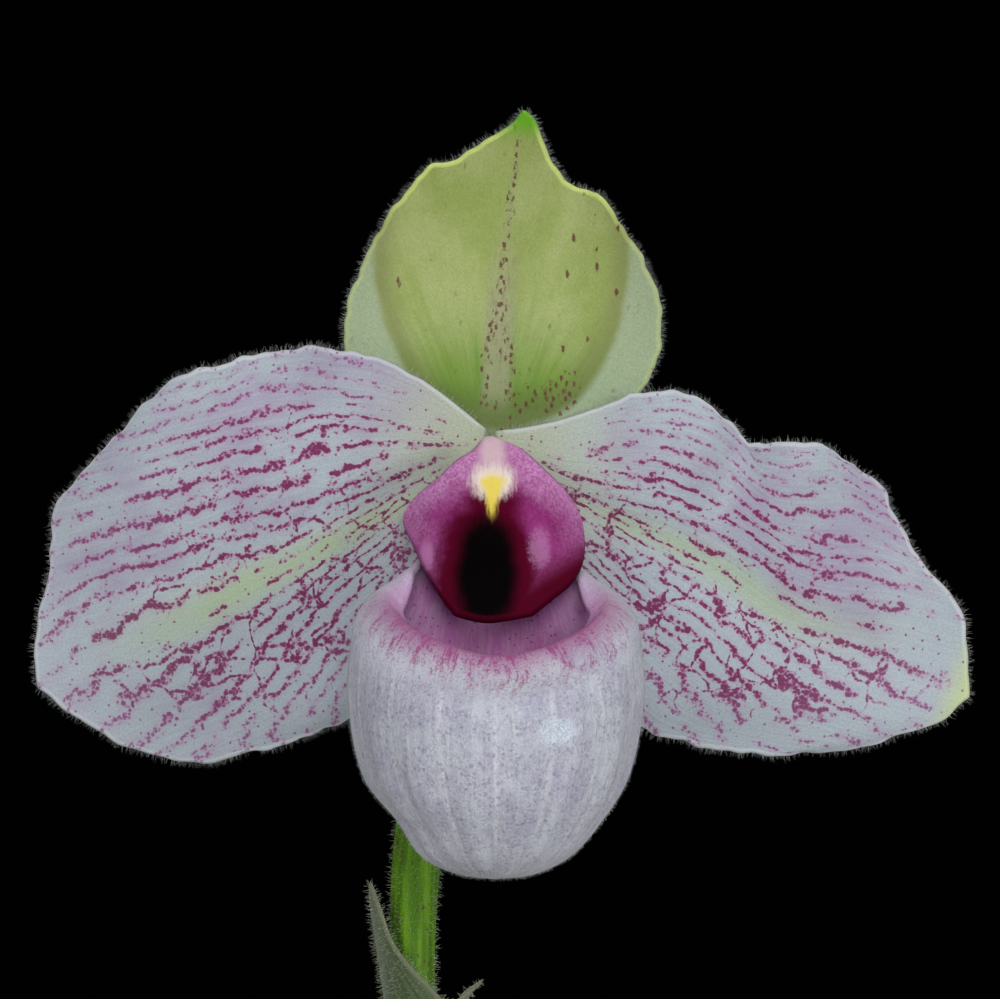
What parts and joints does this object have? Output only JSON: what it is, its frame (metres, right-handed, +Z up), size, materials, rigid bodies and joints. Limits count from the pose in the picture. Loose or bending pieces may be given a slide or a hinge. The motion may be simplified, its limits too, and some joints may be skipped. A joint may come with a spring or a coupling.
{
  "type": "potted slipper orchid",
  "caption": "Slipper orchid in a plain clay pot: one spotted flower with an inflated pouch on a tall stalk over a fan of mottled leaves.",
  "frame": {"origin": "middle of the pot's flat base", "axes": "+Z up along the pot and the stalk, the flower faces -Y, +X to the right of someone facing the flower"},
  "size_m": [0.2604, 0.1124, 0.3321],
  "materials": {
    "sepal": "soft satin",
    "synsepal": "soft satin",
    "petal": "soft satin with spotted veins",
    "lip": "soft sheen",
    "shield": "glossy centre, frosted rim",
    "stalk": "hairy",
    "bract": "hairy",
    "leaf": "waxy, mottled",
    "bark": "rough",
    "clay": "matt, unglazed"
  },
  "bodies": {
    "root": {"dorsal_sepal": "sepal", "synsepal": "synsepal", "petal_left": "petal", "petal_right": "petal", "lip_pouch": "lip", "column_shield": "shield", "flower_stalk": "stalk", "bract_upper": "bract", "bract_lower": "bract", "bark_mix": "bark", "pot": "clay", "leaf_1": "leaf", "leaf_2": "leaf", "leaf_3": "leaf", "leaf_4": "leaf", "leaf_5": "leaf", "leaf_6": "leaf"}
  },
  "joints": []
}
